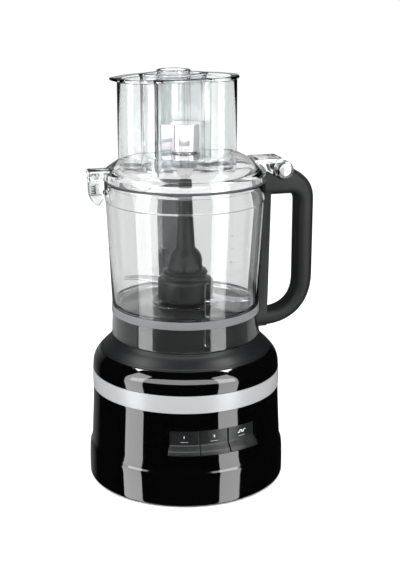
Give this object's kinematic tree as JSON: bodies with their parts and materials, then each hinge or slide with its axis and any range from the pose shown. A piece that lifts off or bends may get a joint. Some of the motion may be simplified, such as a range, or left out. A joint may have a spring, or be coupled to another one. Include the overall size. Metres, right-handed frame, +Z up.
{
  "type": "food processor",
  "caption": "Kitchen food processor with a round motor base, keys, clear bowl with a side handle, hinged lid with a wide feed chute, nested pushers and a bladed hub.",
  "frame": {"origin": "on the surface that the feet stand on, under the middle of the whole object from side to side and front to back", "axes": "+Z up, the keys face -Y, the bowl's handle points to +X"},
  "size_m": [0.251, 0.216, 0.4424],
  "materials": {
    "gloss_black": "polished black ABS",
    "satin_black": "satin moulded black ABS",
    "key_black": "satin moulded black ABS with printed marks",
    "brushed_band": "satin silver band",
    "rubber": "soft black rubber",
    "seal": "dark grey silicone",
    "plated_steel": "zinc plated",
    "motor_iron": "stacked laminations",
    "copper": "enamelled copper wire",
    "board": "coated circuit board",
    "white_plastic": "white acetal",
    "clear_bowl": "polished clear plastic",
    "clear_lid": "polished clear plastic",
    "clear_pusher": "polished clear plastic",
    "clear_latch": "tinted clear plastic",
    "handle_black": "fine textured black plastic",
    "chrome": "satin chrome plating",
    "hub_grey": "satin dark grey nylon",
    "blade_steel": "ground stainless steel"
  },
  "bodies": {
    "base": {"base_housing": "gloss_black", "trim_band": "brushed_band", "base_deck": "satin_black", "key_frame": "satin_black", "switch_low": "satin_black", "switch_high": "satin_black", "switch_pulse": "satin_black", "power_inlet": "rubber", "bottom_cover": "satin_black", "foot_1": "rubber", "foot_2": "rubber", "foot_3": "rubber", "foot_4": "rubber", "cover_screw_1": "plated_steel", "cover_screw_2": "plated_steel", "cover_screw_3": "plated_steel", "cover_screw_4": "plated_steel", "motor_can": "plated_steel", "motor_plate": "plated_steel", "motor_stator": "motor_iron", "motor_winding_low": "copper", "motor_winding_high": "copper", "motor_bearing_low": "plated_steel", "motor_bearing_high": "plated_steel", "circuit_board": "board"},
    "drive": {"motor_rotor": "motor_iron", "drive_shaft": "plated_steel", "cooling_fan": "white_plastic"},
    "key_low": {"key_low": "key_black"},
    "key_high": {"key_high": "key_black"},
    "key_pulse": {"key_pulse": "key_black"},
    "bowl": {"bowl": "clear_bowl", "handle_front": "handle_black", "handle_rear": "handle_black"},
    "cutter": {"blade_hub": "hub_grey", "blade_lower": "blade_steel", "blade_upper": "blade_steel"},
    "lid": {"lid": "clear_lid", "lid_gasket": "seal", "hinge_pin": "plated_steel", "pin_cap_front": "chrome", "pin_cap_rear": "chrome", "latch_pin": "plated_steel", "adjuster_collar": "clear_lid"},
    "latch": {"lid_latch": "clear_latch", "latch_spring": "rubber"},
    "pusher_large": {"pusher_large": "clear_pusher"},
    "pusher_medium": {"pusher_medium": "clear_pusher"},
    "pusher_small": {"pusher_small": "clear_pusher"},
    "adjuster": {"adjuster_knob": "chrome"},
    "adjuster_drive": {"adjuster_shaft": "plated_steel", "disc_drive_cup": "white_plastic"}
  },
  "joints": [
    {"name": "drive_spin", "type": "hinge", "parent": "base", "child": "drive", "pos_m": [-0.0175, 0, 0.06], "axis": [0, 0, 1], "continuous": true},
    {"name": "key_low_press", "type": "slide", "parent": "base", "child": "key_low", "axis": [0.2936, 0.9559, 0], "range_m": [0, 0.002], "stiffness_N_per_m": 300},
    {"name": "key_high_press", "type": "slide", "parent": "base", "child": "key_high", "axis": [-0.0205, 0.9998, 0], "range_m": [0, 0.002], "stiffness_N_per_m": 300},
    {"name": "key_pulse_press", "type": "slide", "parent": "base", "child": "key_pulse", "axis": [-0.3305, 0.9438, 0], "range_m": [0, 0.002], "stiffness_N_per_m": 300},
    {"name": "bowl_lift", "type": "slide", "parent": "base", "child": "bowl", "axis": [0, 0, 1], "range_m": [0, 0.12]},
    {"name": "cutter_spin", "type": "hinge", "parent": "bowl", "child": "cutter", "pos_m": [-0.0175, 0, 0.21], "axis": [0, 0, 1], "continuous": true},
    {"name": "lid_hinge", "type": "hinge", "parent": "bowl", "child": "lid", "pos_m": [0.089, 0, 0.339], "axis": [0, 1, 0], "range_deg": [0, 95]},
    {"name": "latch_swing", "type": "hinge", "parent": "lid", "child": "latch", "pos_m": [-0.115, 0, 0.3395], "axis": [0, 1, 0], "range_deg": [0, 30], "stiffness_Nm_per_rad": 0.05, "springref_deg": -11.46},
    {"name": "adjuster_turn", "type": "hinge", "parent": "lid", "child": "adjuster", "pos_m": [-0.0175, 0, 0.378], "axis": [0, 0, 1], "range_deg": [0, 120]},
    {"name": "adjuster_rise", "type": "slide", "parent": "lid", "child": "adjuster_drive", "axis": [0, 0, 1], "range_m": [0, 0.0042]},
    {"name": "pusher_large_slide", "type": "slide", "parent": "lid", "child": "pusher_large", "axis": [0, 0, 1], "range_m": [0, 0.11]},
    {"name": "pusher_medium_slide", "type": "slide", "parent": "pusher_large", "child": "pusher_medium", "axis": [0, 0, 1], "range_m": [0, 0.1]},
    {"name": "pusher_small_slide", "type": "slide", "parent": "pusher_medium", "child": "pusher_small", "axis": [0, 0, 1], "range_m": [0, 0.1]}
  ],
  "couplings": [
    {"joint": "cutter_spin", "follows": "drive_spin", "ratio": 1},
    {"joint": "adjuster_rise", "follows": "adjuster_turn", "m_per_rad": 0.002}
  ]
}
